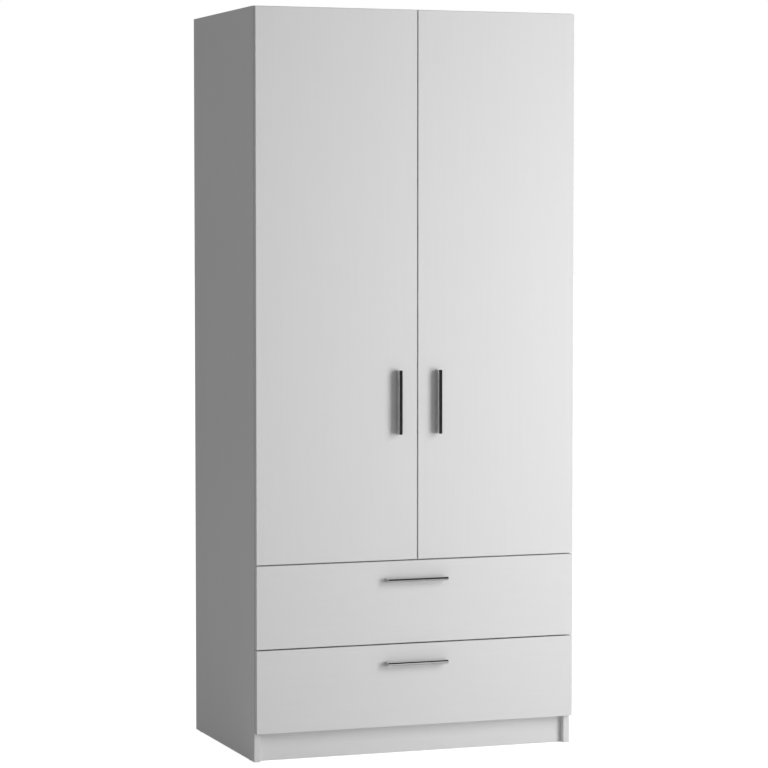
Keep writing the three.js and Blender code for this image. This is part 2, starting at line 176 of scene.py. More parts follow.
def make_floor():
    """The white floor that is seen, and just under it the one that shades and reflects."""
    floors = []
    for name, level, reach, mat in (
        ("floor", 0.0, FLOOR_REACH, plain_material("floor_white", 0.9, FLOOR_GLOW)),
        ("floor_bounce", BOUNCE_LEVEL, BOUNCE_REACH, plain_material("floor_pale", 0.7)),
    ):
        mesh = bpy.data.meshes.new(name)
        corners = [(-reach, -reach), (reach, -reach), (reach, reach), (-reach, reach)]
        mesh.from_pydata([(x, y, level) for x, y in corners], [], [(0, 1, 2, 3)])
        mesh.materials.append(mat)
        plane = bpy.data.objects.new(name, mesh)
        scene.collection.objects.link(plane)
        seen = name == "floor"
        plane.visible_camera = seen
        plane.visible_glossy = not seen
        plane.visible_diffuse = not seen
        plane.visible_shadow = not seen
        floors.append(plane)
    return floors


# ---------------------------------------------------------------- materials
NOISE_LOW, NOISE_HIGH = 0.3, 0.7         # most of a noise texture's values lie between these


def darker(color, factor):
    return [value * factor for value in color]


class Shader:
    """A Principled material and short ways to add nodes to it."""

    def __init__(self, name, **values):
        self.mat = bpy.data.materials.new(name)
        self.mat.use_nodes = True
        self.nodes = self.mat.node_tree.nodes
        self.links = self.mat.node_tree.links
        self.bsdf = self.nodes["Principled BSDF"]
        for socket, value in values.items():
            self.bsdf.inputs[socket.replace("_", " ")].default_value = value
        coordinates = self.nodes.new("ShaderNodeTexCoord")
        self.place = coordinates.outputs["Object"]
        self.normal = coordinates.outputs["Normal"]

    def noise(self, scale, stretch=(1.0, 1.0, 1.0), detail=3.0, roughness=0.5):
        mapping = self.nodes.new("ShaderNodeMapping")
        mapping.inputs["Scale"].default_value = stretch
        texture = self.nodes.new("ShaderNodeTexNoise")
        texture.inputs["Scale"].default_value = scale
        texture.inputs["Detail"].default_value = detail
        texture.inputs["Roughness"].default_value = roughness
        self.links.new(self.place, mapping.inputs["Vector"])
        self.links.new(mapping.outputs[0], texture.inputs["Vector"])
        return texture.outputs["Fac"]

    def blend(self, fac, low, high):
        """A colour that goes from low to high with a noise."""
        ramp = self.nodes.new("ShaderNodeValToRGB")
        ramp.color_ramp.elements[0].position = NOISE_LOW
        ramp.color_ramp.elements[0].color = (*low, 1.0)
        ramp.color_ramp.elements[1].position = NOISE_HIGH
        ramp.color_ramp.elements[1].color = (*high, 1.0)
        self.links.new(fac, ramp.inputs["Fac"])
        return ramp.outputs["Color"]

    def blend_by(self, fac, first, second):
        """The first colour where fac is 0 and the second where it is 1."""
        mix = self.nodes.new("ShaderNodeMix")
        mix.data_type = "RGBA"
        self.links.new(fac, mix.inputs["Factor"])
        self.links.new(first, mix.inputs["A"])
        self.links.new(second, mix.inputs["B"])
        return next(output for output in mix.outputs if output.type == "RGBA")

    def facing(self, axis):
        """1 on the faces whose own normal points along the axis, and 0 on the others."""
        along = self.nodes.new("ShaderNodeVectorMath")
        along.operation = "DOT_PRODUCT"
        along.inputs[1].default_value = axis
        enough = self.nodes.new("ShaderNodeMath")
        enough.operation = "GREATER_THAN"
        enough.inputs[1].default_value = 0.5
        self.links.new(self.normal, along.inputs[0])
        self.links.new(along.outputs["Value"], enough.inputs[0])
        return enough.outputs[0]

    def spread(self, fac, low, high, start=NOISE_LOW, end=NOISE_HIGH):
        """A number that goes from low to high as fac goes from start to end."""
        span = self.nodes.new("ShaderNodeMapRange")
        span.inputs["From Min"].default_value = start
        span.inputs["From Max"].default_value = end
        span.inputs["To Min"].default_value = low
        span.inputs["To Max"].default_value = high
        self.links.new(fac, span.inputs["Value"])
        return span.outputs["Result"]

    def color(self, output):
        self.links.new(output, self.bsdf.inputs["Base Color"])

    def rough(self, output):
        self.links.new(output, self.bsdf.inputs["Roughness"])

    def bump(self, height, distance, strength, under=None):
        """Adds relief on top of the relief under it. The distance is in metres."""
        node = self.nodes.new("ShaderNodeBump")
        node.inputs["Strength"].default_value = strength
        node.inputs["Distance"].default_value = distance
        self.links.new(height, node.inputs["Height"])
        if under is not None:
            self.links.new(under, node.inputs["Normal"])
        self.links.new(node.outputs["Normal"], self.bsdf.inputs["Normal"])
        return node.outputs["Normal"]


def melamine(name, base, along):
    """Pearl-finish melamine with a faint grain that runs along one axis."""
    roughness = 0.42
    shader = Shader(name, Roughness=roughness, IOR=1.5, Specular_IOR_Level=0.15)
    stretch = [14.0, 14.0, 14.0]
    stretch["xyz".index(along)] = 0.35
    grain = shader.noise(9.0, stretch, detail=4.0, roughness=0.6)
    cloud = shader.noise(2.2, detail=2.0)
    pearl = shader.noise(750.0, detail=2.0)
    shader.color(shader.blend(grain, darker(base, 0.982), base))
    shader.rough(shader.spread(cloud, roughness - 0.03, roughness + 0.04))
    first = shader.bump(pearl, 0.00006, 0.35)
    shader.bump(grain, 0.00025, 0.25, under=first)
    return shader.mat


def edge_band(name, base):
    """The plastic strip on a board's edges, a little glossier than its faces."""
    shader = Shader(name, Roughness=0.34, IOR=1.5)
    fine = shader.noise(420.0, (1.0, 1.0, 0.1), detail=2.0)
    shader.color(shader.blend(fine, darker(base, 0.985), base))
    shader.bump(fine, 0.00004, 0.3)
    return shader.mat


def chipboard():
    """The raw core of a board, which shows in drilled holes and grooves."""
    shader = Shader("chipboard", Roughness=0.85)
    chips = shader.noise(380.0, detail=5.0, roughness=0.7)
    shader.color(shader.blend(chips, (0.28, 0.19, 0.11), (0.62, 0.47, 0.31)))
    shader.bump(chips, 0.0004, 0.8)
    return shader.mat


def hardboard(name, painted):
    """Hardboard painted on the face that looks along one axis, and raw brown fibre elsewhere."""
    shader = Shader(name)
    fibre = shader.noise(260.0, (1.0, 1.0, 0.6), detail=5.0, roughness=0.7)
    coarse = shader.noise(95.0, (1.0, 1.0, 0.7), detail=6.0, roughness=0.75)
    screen = shader.noise(900.0, detail=1.0)
    paint = shader.blend(fibre, (0.66, 0.65, 0.62), (0.75, 0.74, 0.71))
    raw = shader.blend(coarse, (0.24, 0.145, 0.075), (0.37, 0.245, 0.14))
    side = shader.facing(painted)
    shader.color(shader.blend_by(side, raw, paint))
    shader.rough(shader.spread(side, 0.8, 0.55, 0.0, 1.0))
    first = shader.bump(screen, 0.0002, 0.4)
    shader.bump(fibre, 0.00015, 0.4, under=first)
    return shader.mat


def metal(name, base, low, high, stretch, distance=0.00002, scale=60.0):
    """Bare or plated metal whose polish varies a little from place to place."""
    shader = Shader(name, Metallic=1.0)
    streak = shader.noise(scale, stretch, detail=4.0, roughness=0.6)
    shader.color(shader.blend(streak, darker(base, 0.94), base))
    shader.rough(shader.spread(streak, low, high))
    shader.bump(streak, distance, 0.3)
    return shader.mat


def powder_coat():
    """White powder coat on the runners, with a fine orange peel."""
    shader = Shader("powder_coat", Roughness=0.38, IOR=1.5)
    peel = shader.noise(900.0, detail=2.0)
    shader.color(shader.blend(peel, (0.76, 0.76, 0.75), (0.81, 0.81, 0.8)))
    shader.bump(peel, 0.00008, 0.5)
    return shader.mat


def moulded(name, base, roughness):
    """Plastic, rubber or paper with a fine even skin."""
    shader = Shader(name, Roughness=roughness, IOR=1.46)
    skin = shader.noise(600.0, detail=3.0)
    shader.color(shader.blend(skin, darker(base, 0.95), base))
    shader.bump(skin, 0.00005, 0.4)
    return shader.mat


WHITE = (0.80, 0.80, 0.80)
MAT = {
    "face_z": melamine("melamine_upright_grain", WHITE, "z"),
    "face_x": melamine("melamine_cross_grain", WHITE, "x"),
    "face_y": melamine("melamine_deep_grain", WHITE, "y"),
    "band": edge_band("edge_band", (0.81, 0.81, 0.81)),
    "chip": chipboard(),
    "back": hardboard("back_hardboard", (0.0, -1.0, 0.0)),
    "drawer_floor": hardboard("drawer_hardboard", (0.0, 0.0, 1.0)),
    "tape": moulded("paper_tape", (0.55, 0.47, 0.36), 0.7),
    "chrome": metal("polished_chrome", (0.76, 0.762, 0.768), 0.04, 0.08, (1, 1, 1),
                    distance=0.000008),
    "rail": metal("rail_chrome", (0.82, 0.83, 0.85), 0.10, 0.16, (0.1, 8, 8)),
    "nickel": metal("nickel_plate", (0.68, 0.69, 0.70), 0.22, 0.32, (1, 1, 3)),
    "zinc": metal("zinc_screw", (0.62, 0.63, 0.65), 0.25, 0.38, (1, 1, 1), scale=300.0),
    "powder": powder_coat(),
    "nylon": moulded("white_nylon", (0.80, 0.80, 0.78), 0.42),
    "grey": moulded("grey_plastic", (0.20, 0.21, 0.22), 0.5),
    "rubber": moulded("clear_bumper", (0.62, 0.63, 0.62), 0.3),
}


# ---------------------------------------------------------------- mesh helpers
SHARP_ANGLE = math.radians(38.0)         # edges sharper than this stay hard
CORNER_ANGLE = math.radians(35.0)        # on a CAD node, edges sharper than this are rounded
WELD = 0.01 * MM                         # vertices of a CAD node closer than this are one
EDGE_RADIUS = 0.9 * MM                   # rounding of a board's edge band
BAND = 1.0 * MM                          # thickness of the band
BAND_GROOVE = 0.1 * MM                   # depth and half width of the line beside it
FIT = 0.2 * MM                           # play around what sits in a groove
OVER = 1.0 * MM                          # a groove's cutter starts this far outside the board
CROSS_WIDTH = 0.28                       # width of a cross recess as a part of its length


def link_mesh(name, bm, mats):
    """A new object from a bmesh, smooth except across sharp edges."""
    bmesh.ops.recalc_face_normals(bm, faces=bm.faces)
    mesh = bpy.data.meshes.new(name)
    bm.to_mesh(mesh)
    bm.free()
    for mat in mats:
        mesh.materials.append(mat)
    obj = bpy.data.objects.new(name, mesh)
    scene.collection.objects.link(obj)
    soften(obj)
    return obj


def soften(obj):
    """Shades one of this script's own meshes smooth between its sharp edges."""
    mesh = obj.data
    mesh.polygons.foreach_set("use_smooth", [True] * len(mesh.polygons))
    mesh.set_sharp_from_angle(angle=SHARP_ANGLE)
    weighted = obj.modifiers.new("weighted", "WEIGHTED_NORMAL")
    weighted.keep_sharp = True


def attach(obj, body, slot, *nodes):
    """The piece rides on a body and stands for the CAD nodes named. The slot is not used."""
    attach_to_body(obj, body)
    if nodes:
        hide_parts(*nodes)


def standing(at, axis):
    """The matrix that stands a shape drawn along +Z at the point, along the axis."""
    turn = Vector(axis).to_track_quat("Z", "Y").to_matrix().to_4x4()
    return Matrix.Translation(Vector(at)) @ turn


def arc(radius, steps, start=0.0, end=math.pi / 2):
    """Points on an arc about the origin, from one angle to the other."""
    angles = [start + (end - start) * i / steps for i in range(steps + 1)]
    return [(radius * math.cos(a), radius * math.sin(a)) for a in angles]


def bridge(bm, rings, material=0):
    """Quads between successive closed rings of vertices."""
    for low, high in zip(rings, rings[1:]):
        count = len(low)
        for i in range(count):
            j = (i + 1) % count
            face = bm.faces.new((low[i], low[j], high[j], high[i]))
            face.material_index = material


def board_bmesh(low, high, thin):
    """A board with rounded edge bands. A fine groove marks where band and face meet."""
    flat = [i for i in range(3) if i != thin]
    rounding = [(EDGE_RADIUS - c, EDGE_RADIUS - s) for c, s in reversed(arc(EDGE_RADIUS, 4))]
    edge = [(BAND + 2 * BAND_GROOVE, 0.0), (BAND + BAND_GROOVE, BAND_GROOVE), (BAND, 0.0),
            *rounding]
    thickness = (Vector(high) - Vector(low))[thin]
    profile = edge + [(inset, thickness - depth) for inset, depth in reversed(edge)]
    bm = bmesh.new()
    rings = []
    for inset, depth in profile:
        ring = []
        for corner in ((False, False), (True, False), (True, True), (False, True)):
            point = [0.0, 0.0, 0.0]
            point[thin] = low[thin] + depth
            for axis, at_high in zip(flat, corner):
                point[axis] = high[axis] - inset if at_high else low[axis] + inset
            ring.append(bm.verts.new(point))
        rings.append(ring)
    bridge(bm, rings, material=1)
    bm.faces.new(rings[0])
    bm.faces.new(rings[-1])
    return bm


def board(name, node, body, thin, grain, cuts=()):
    """The CAD board as a banded board, with holes and grooves cut where asked."""
    low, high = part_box(node)
    mats = [MAT["face_" + grain], MAT["band"]]
    obj = link_mesh(name, board_bmesh(low, high, thin), mats)
    if cuts:
        carve(obj, cuts)
    attach(obj, body, "white_board", node)


def drill(at, axis, radius, depth, segments):
    """A cutter for a round hole that starts at the point and runs depth along the axis."""
    bm = bmesh.new()
    outside = 0.5 * MM
    middle = Vector(at) + Vector(axis) * (depth / 2 - outside / 2)
    bmesh.ops.create_cone(bm, cap_ends=True, segments=segments, radius1=radius,
                          radius2=radius, depth=depth + outside, matrix=standing(middle, axis))
    return bm


def block_cutter(low, high):
    """A cutter that fills the box between two corners."""
    bm = bmesh.new()
    size = Vector(high) - Vector(low)
    middle = (Vector(high) + Vector(low)) / 2
    matrix = Matrix.Translation(middle) @ Matrix.Diagonal((*size, 1.0))
    bmesh.ops.create_cube(bm, size=1.0, matrix=matrix)
    return bm


def merge(bmeshes):
    """Several bmeshes as one."""
    whole = bmesh.new()
    for part in bmeshes:
        mesh = bpy.data.meshes.new("part")
        part.to_mesh(mesh)
        part.free()
        whole.from_mesh(mesh)
        bpy.data.meshes.remove(mesh)
    return whole


def carve(obj, cuts):
    """Cuts the bmeshes out of the object. The new walls show raw chipboard."""
    cutter_mesh = bpy.data.meshes.new("cutter")
    whole = merge(cuts)
    bmesh.ops.recalc_face_normals(whole, faces=whole.faces)
    whole.to_mesh(cutter_mesh)
    whole.free()
    cutter_mesh.materials.append(MAT["chip"])
    cutter = bpy.data.objects.new("cutter", cutter_mesh)
    scene.collection.objects.link(cutter)
    obj.modifiers.clear()
    boolean = obj.modifiers.new("cut", "BOOLEAN")
    boolean.operation = "DIFFERENCE"
    boolean.solver = "EXACT"
    boolean.material_mode = "TRANSFER"
    boolean.object = cutter
    graph = bpy.context.evaluated_depsgraph_get()
    mesh = bpy.data.meshes.new_from_object(obj.evaluated_get(graph))
    obj.modifiers.clear()
    obj.data = mesh
    bpy.data.objects.remove(cutter)
    soften(obj)


def turned_ring(bm, matrix, radius, height, segments):
    """New vertices around the matrix's own Z axis."""
    angles = [2 * math.pi * i / segments for i in range(segments)]
    return [bm.verts.new(matrix @ Vector((radius * math.cos(a), radius * math.sin(a), height)))
            for a in angles]


def lathe(profile, at, axis, segments):
    """A closed turned solid. The profile is (radius, height) and starts and ends at radius 0."""
    matrix = standing(at, axis)
    bm = bmesh.new()
    ends = [bm.verts.new(matrix @ Vector((0, 0, profile[i][1]))) for i in (0, -1)]
    rings = [turned_ring(bm, matrix, radius, height, segments)
             for radius, height in profile[1:-1]]
    bridge(bm, rings)
    for end, ring in zip(ends, (rings[0], rings[-1])):
        for i in range(segments):
            bm.faces.new((end, ring[i], ring[(i + 1) % segments]))
    return bm


def ring_lathe(profile, at, axis, segments):
    """A turned ring. The profile is a closed loop of (radius, height) that stays off the axis."""
    matrix = standing(at, axis)
    bm = bmesh.new()
    rings = [turned_ring(bm, matrix, radius, height, segments) for radius, height in profile]
    bridge(bm, [*rings, rings[0]])
    return bm


def stamped(profile, recess, depth, segments=24):
    """A turned head with a cross recess pressed into its top, as a mesh to be placed often."""
    mesh = bpy.data.meshes.new("head")
    head = lathe(profile, (0, 0, 0), (0, 0, 1), segments)
    bmesh.ops.recalc_face_normals(head, faces=head.faces)
    head.to_mesh(mesh)
    head.free()
    obj = bpy.data.objects.new("head", mesh)
    scene.collection.objects.link(obj)
    top = profile[-1][1]
    blade = recess * CROSS_WIDTH
    bars = [block_cutter((-a, -b, top - depth), (a, b, top + depth))
            for a, b in ((recess, blade), (blade, recess))]
    cutter_mesh = bpy.data.meshes.new("cross")
    for bar in bars:
        bar.to_mesh(cutter_mesh)
        bar.free()
        cutter = bpy.data.objects.new("cross", cutter_mesh)
        scene.collection.objects.link(cutter)
        modifier = obj.modifiers.new("cross", "BOOLEAN")
        modifier.operation = "DIFFERENCE"
        modifier.solver = "EXACT"
        modifier.object = cutter
        graph = bpy.context.evaluated_depsgraph_get()
        obj.data = bpy.data.meshes.new_from_object(obj.evaluated_get(graph))
        obj.modifiers.clear()
        bpy.data.objects.remove(cutter)
    result = obj.data
    bpy.data.objects.remove(obj)
    return result


def place_all(name, mesh, spots, body, slot):
    """Zinc copies of one small mesh at (point, outward axis) spots, joined into one piece."""
    bm = bmesh.new()
    for at, axis in spots:
        copy = mesh.copy()
        spin = Matrix.Rotation(rng.uniform(0.0, math.pi / 2), 4, "Z")
        copy.transform(standing(at, axis) @ spin)
        bm.from_mesh(copy)
        bpy.data.meshes.remove(copy)
    attach(link_mesh(name, bm, [MAT["zinc"]]), body, slot)


def smooth_shading():
    """A node group that shades a mesh smooth, so that a CAD node's own mesh is left as it is."""
    group = bpy.data.node_groups.new("smooth_shading", "GeometryNodeTree")
    for way in ("INPUT", "OUTPUT"):
        group.interface.new_socket("Geometry", in_out=way, socket_type="NodeSocketGeometry")
    start = group.nodes.new("NodeGroupInput")
    smooth = group.nodes.new("GeometryNodeSetShadeSmooth")
    end = group.nodes.new("NodeGroupOutput")
    group.links.new(start.outputs[0], smooth.inputs["Geometry"])
    group.links.new(smooth.outputs[0], end.inputs[0])
    return group


SMOOTH = smooth_shading()


def refine(node, mat, width, segments=2):
    """A CAD node that stays: modifiers round its corners, and its slot gets its material."""
    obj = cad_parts[node]
    obj.material_slots[0].link = "OBJECT"
    obj.material_slots[0].material = MAT[mat]
    weld = obj.modifiers.new("weld", "WELD")
    weld.merge_threshold = WELD
    bevel = obj.modifiers.new("round", "BEVEL")
    bevel.width = width
    bevel.segments = segments
    bevel.limit_method = "ANGLE"
    bevel.angle_limit = CORNER_ANGLE
    smooth = obj.modifiers.new("smooth", "NODES")
    smooth.node_group = SMOOTH
    weighted = obj.modifiers.new("weighted", "WEIGHTED_NORMAL")
    weighted.keep_sharp = True


# ---------------------------------------------------------------- carcass boards
BACK_GROOVE = 6 * MM                     # depth of the groove that holds the back panel
PIN_RADIUS = 2.5 * MM
PIN_HOLE_DEPTH = 11 * MM
PIN_PITCH = 32 * MM
PIN_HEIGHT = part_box("hat_shelf")[0].z - PIN_RADIUS    # the hat shelf lies on its pins
PIN_ROWS = (CARCASS_FRONT + 37 * MM, CARCASS_BACK - 62 * MM)
HOLE_HEIGHTS = [PIN_HEIGHT + k * PIN_PITCH for k in range(-3, 4)]


def side_panel(side, sign):
    low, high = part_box(f"{side}_side_panel")
    back_low, back_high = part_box("back_panel")
    face = sign * INNER
    groove_x = sorted((face - sign * OVER, face + sign * BACK_GROOVE))
    cuts = [block_cutter((groove_x[0], back_low.y - FIT, low.z - OVER),
                         (groove_x[1], back_high.y + FIT, high.z + OVER))]
    cuts += [drill((face, y, z), (sign, 0, 0), PIN_RADIUS, PIN_HOLE_DEPTH, segments=20)
             for y in PIN_ROWS for z in HOLE_HEIGHTS]
    board(f"{side}_side_board", f"{side}_side_panel", "carcass", 0, "z", cuts)


CAM_RADIUS = 7.5 * MM
CAM_FIT = 0.1 * MM
CAM_HOLE_DEPTH = 12.5 * MM
CAM_SUNK = 0.5 * MM                      # the cam's crown lies this far inside its hole
CAM_IN = 34 * MM                         # from the end of the board
CAM_ROWS = (CARCASS_FRONT + 45 * MM, CARCASS_BACK - 70 * MM)


def cam_spots(node):
    """Where the cam fittings sit in the underside of a fixed board."""
    low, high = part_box(node)
    return [(x, y, low.z) for x in (low.x + CAM_IN, high.x - CAM_IN) for y in CAM_ROWS]


def cam_holes(node):
    return [drill(at, (0, 0, 1), CAM_RADIUS + CAM_FIT, CAM_HOLE_DEPTH, segments=32)
            for at in cam_spots(node)]


def top_board():
    low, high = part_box("top_panel")
    back_low, back_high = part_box("back_panel")
    groove = block_cutter((low.x - OVER, back_low.y - FIT, low.z - OVER),
                          (high.x + OVER, back_high.y + FIT, low.z + BACK_GROOVE))
    board("top_board", "top_panel", "carcass", 2, "x", [*cam_holes("top_panel"), groove])


def carcass_boards():
    for side, sign in SIDES:
        side_panel(side, sign)
    top_board()
    board("fixed_shelf_board", "fixed_shelf", "carcass", 2, "x", cam_holes("fixed_shelf"))
    board("bottom_board", "bottom_panel", "carcass", 2, "x", cam_holes("bottom_panel"))
    board("hat_shelf_board", "hat_shelf", "carcass", 2, "x")
    board("plinth_face_board", "plinth_board", "carcass", 1, "x")
    refine("back_panel", "back", 0.3 * MM)


# ---------------------------------------------------------------- handles
HANDLE_ROUND = 4.0 * MM


def handle_section(half, front, base, radius):
    """Across and depth of a bar that is square at its base and rounded in front."""
    points = [(half, base), (-half, base)]
    for sign, start in ((-1, math.pi), (1, 1.5 * math.pi)):
        for c, s in arc(radius, 8, start, start + math.pi / 2):
            points.append((sign * (half - radius) + c, front + radius + s))
    return points


def handle(name, node, body, upright):
    """A polished bar pull with two rounded long edges and softly broken ends."""
    low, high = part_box(node)
    centre = (low + high) / 2
    size = high - low
    half_length = (size.z if upright else size.x) / 2
    half_width = (size.x if upright else size.z) / 2
    ease = 0.7 * MM
    ends = [(half_length - ease * (1 - math.cos(a)), ease * (1 - math.sin(a)))
            for a in (math.pi / 2 * i / 4 for i in range(5))]
    stations = sorted([(-along, inset) for along, inset in ends]) + sorted(ends)
    bm = bmesh.new()
    rings = []
    for along, inset in stations:
        ring = []
        section = handle_section(half_width - inset, low.y + inset, high.y, HANDLE_ROUND - inset)
        for across, depth in section:
            if upright:
                place = (centre.x + across, depth, centre.z + along)
            else:
                place = (centre.x + along, depth, centre.z + across)
            ring.append(bm.verts.new(place))
        rings.append(ring)
    bridge(bm, rings)
    bm.faces.new(rings[0])
    bm.faces.new(rings[-1])
    attach(link_mesh(name, bm, [MAT["chrome"]]), body, "handle_chrome", node)


# ---------------------------------------------------------------- doors
POCKET_IN = 19.6 * MM                    # from the door's hinged edge to the pocket's middle
POCKET_RADIUS = 17.6 * MM
POCKET_DEPTH = 12.2 * MM
PAD_IN = 9 * MM                          # from the door's edges to the middle of a pad


def door_board(side, sign):
    """The door with a round pocket for each hinge cup."""
    low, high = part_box(f"{side}_door_panel")
    hinged = high.x if sign > 0 else low.x
    x = hinged - sign * POCKET_IN
    cuts = []
    for place in HINGE_PLACES:
        cup_low, cup_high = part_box(f"hinge_cup_{side}_{place}")
        at = (x, DOOR_BACK, (cup_low.z + cup_high.z) / 2)
        cuts.append(drill(at, (0, -1, 0), POCKET_RADIUS, POCKET_DEPTH, segments=48))
    board(f"{side}_door_board", f"{side}_door_panel", f"{side}_door", 1, "z", cuts)


def bumpers(side, sign):
    """Two soft pads on the door's back, near its free edge."""
    low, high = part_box(f"{side}_door_panel")
    free = low.x if sign > 0 else high.x
    dome = [(0.0, 0.0), (4 * MM, 0.0), (4 * MM, 0.5 * MM), (3.4 * MM, 1.1 * MM),
            (2.2 * MM, 1.4 * MM), (0.0, 1.5 * MM)]
    pads = [lathe(dome, (free + sign * PAD_IN, DOOR_BACK, z), (0, 1, 0), segments=24)
            for z in (low.z + PAD_IN, high.z - PAD_IN)]
    obj = link_mesh(f"{side}_door_bumpers", merge(pads), [MAT["rubber"]])
    attach(obj, f"{side}_door", "grey_plastic")


def doors():
    for side, sign in SIDES:
        door_board(side, sign)
        bumpers(side, sign)
        handle(f"{side}_door_pull", f"{side}_door_handle", f"{side}_door", True)


# ---------------------------------------------------------------- drawers
DRAWER_GROOVE = 5 * MM                   # depth of the groove that holds a drawer's bottom


def drawer_side(level, side, sign):
    node = f"{level}_drawer_side_{side}"
    low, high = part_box(node)
    floor_low, floor_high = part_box(f"{level}_drawer_bottom")
    inner = low.x if sign > 0 else high.x
    span = sorted((inner - sign * OVER, inner + sign * DRAWER_GROOVE))
    groove = block_cutter((span[0], low.y - OVER, floor_low.z - FIT),
                          (span[1], high.y + OVER, floor_high.z + FIT))
    board(f"{level}_side_board_{side}", node, f"{level}_drawer", 0, "y", [groove])


def drawers():
    for level in LEVELS:
        body = f"{level}_drawer"
        board(f"{level}_front_board", f"{level}_drawer_front", body, 1, "x")
        for side, sign in SIDES:
            drawer_side(level, side, sign)
        board(f"{level}_back_board", f"{level}_drawer_back", body, 1, "x")
        refine(f"{level}_drawer_bottom", "drawer_floor", 0.3 * MM)
        handle(f"{level}_drawer_pull", f"{level}_drawer_handle", body, False)


# ---------------------------------------------------------------- fittings that stay CAD
def cad_fittings():
    for side, _ in SIDES:
        refine(f"rail_socket_{side}", "nickel", 0.5 * MM)
        for place in HINGE_PLACES:
            refine(f"hinge_arm_{side}_{place}", "nickel", 0.35 * MM)
            refine(f"hinge_cup_{side}_{place}", "nickel", 0.15 * MM, 1)
        for level in LEVELS:
            refine(f"{level}_drawer_runner_{side}", "powder", 0.3 * MM)
            refine(f"{level}_cabinet_runner_{side}", "powder", 0.3 * MM)
        for row in ROWS:
            refine(f"floor_glide_{row}_{side}", "grey", 0.4 * MM)
    refine("wall_bracket", "nickel", 0.3 * MM)


# ---------------------------------------------------------------- rail and rollers
def oval_loop(half_width, half_height):
    """A flattened oval as (y, z) points: two half circles joined by straight sides."""
    steps = 12
    straight = half_height - half_width
    upper = [(c, s + straight) for c, s in arc(half_width, steps, 0.0, math.pi)]
    lower = [(c, s - straight) for c, s in arc(half_width, steps, math.pi, 2 * math.pi)]
    return upper + lower


def hanging_rail():
    """A thin-walled oval tube, open at both ends, whose outer rims are eased."""
    low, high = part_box("hanging_rail")
    centre = (low + high) / 2
    half = (high - low) / 2
    wall = 1.0 * MM
    ease = 0.3 * MM
    outer = oval_loop(half.y, half.z)
    eased = oval_loop(half.y - ease, half.z - ease)
    inner = oval_loop(half.y - wall, half.z - wall)
    stations = [(low.x, inner), (low.x, eased), (low.x + ease, outer), (high.x - ease, outer),
                (high.x, eased), (high.x, inner)]
    bm = bmesh.new()
    rings = [[bm.verts.new((x, centre.y + y, centre.z + z)) for y, z in loop]
             for x, loop in stations]
    bridge(bm, [*rings, rings[0]])
    attach(link_mesh("rail_tube", bm, [MAT["rail"]]), "carcass", "rail_chrome", "hanging_rail")


def roller(node):
    """A nylon wheel with a dished web between its rim and its hub."""
    low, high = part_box(node)
    centre = (low + high) / 2
    half = (high.x - low.x) / 2
    rim = (high.z - low.z) / 2
    bore = 2.6 * MM
    hub = bore + 2.2 * MM
    lip = rim - 2.4 * MM
    dish = half - 1.4 * MM
    slope = 0.3 * MM
    ease = 0.7 * MM
    side = [(bore, half), (hub, half), (hub + slope, dish), (lip - slope, dish), (lip, half),
            (rim - ease, half), (rim, half - ease)]
    profile = side + [(radius, -height) for radius, height in reversed(side)]
    bm = ring_lathe(profile, centre, (1, 0, 0), segments=40)
    attach(link_mesh(f"{node}_wheel", bm, [MAT["nylon"]]), node, "roller_plastic", node)


def rollers():
    for level in LEVELS:
        for row in ROWS:
            for side, _ in SIDES:
                roller(f"{level}_{row}_roller_{side}")


# ---------------------------------------------------------------- small fittings
KNUCKLE = 1.9 * MM                       # the hinge axis lies this far behind the arm's front end
ARM_SCREWS = (33 * MM, 62 * MM)          # behind the hinge axis
PLATE_MIDDLE = 49 * MM                   # behind the hinge axis
PLATE_SCREWS = 16 * MM                   # above and below the arm's middle
PLATE_STEP = 8.6 * MM                    # from the arm's screw crowns to the plate's
CUP_SCREWS = 22.5 * MM                   # above and below the cup's middle
EAR_RADIUS = 6 * MM                      # from a cup screw to the inner edge of the cup's ears
# The CAD has a plain head for each hinge screw. The shaped head covers it, and sits this far
# below its crown.
ARM_SEAT = 0.4 * MM
CUP_SEAT = 0.3 * MM
RUNNER_SHEET = 1.2 * MM
RUNNER_SCREWS = (37 * MM, 229 * MM, 421 * MM)    # behind the runner's front end
RUNNER_SCREW_UP = 17 * MM                # above the runner's lowest edge
SOCKET_PLATE = 2.4 * MM
SOCKET_SCREW_UP = 1.8 * MM               # above the rail's top
BRACKET_SHEET = 2 * MM
BRACKET_SCREWS = 11 * MM                 # to the left and right of the bracket's middle
BRACKET_SCREW_IN = 14 * MM               # behind the bracket's front edge
WALL_SCREW_DOWN = 24 * MM                # below the bracket's top
NAIL_PLACES = [x * MM for x in (-360, -240, -120, 120, 240, 360)]    # on both sides of the tape
SCREW_RADIUS = 3.7 * MM                  # of the head
SCREW_CROSS = 2.0 * MM                   # half the length of its cross recess


def pan_head(radius, height):
    """Outline of a pan head from just under its seat to its crown."""
    return [(0.0, -0.2 * MM), (radius, -0.2 * MM), (radius, 0.15 * height),
            (radius * 0.97, 0.4 * height), (radius * 0.85, 0.72 * height),
            (radius * 0.6, 0.93 * height), (radius * 0.3, height), (0.0, height)]


def flat_head(radius, proud):
    """Outline of a countersunk head that stands so little proud that a roller passes over it."""
    return [(0.0, -1.0 * MM), (radius * 0.6, -1.0 * MM), (radius, -0.05 * MM),
            (radius, 0.6 * proud), (radius * 0.94, proud), (0.0, proud)]


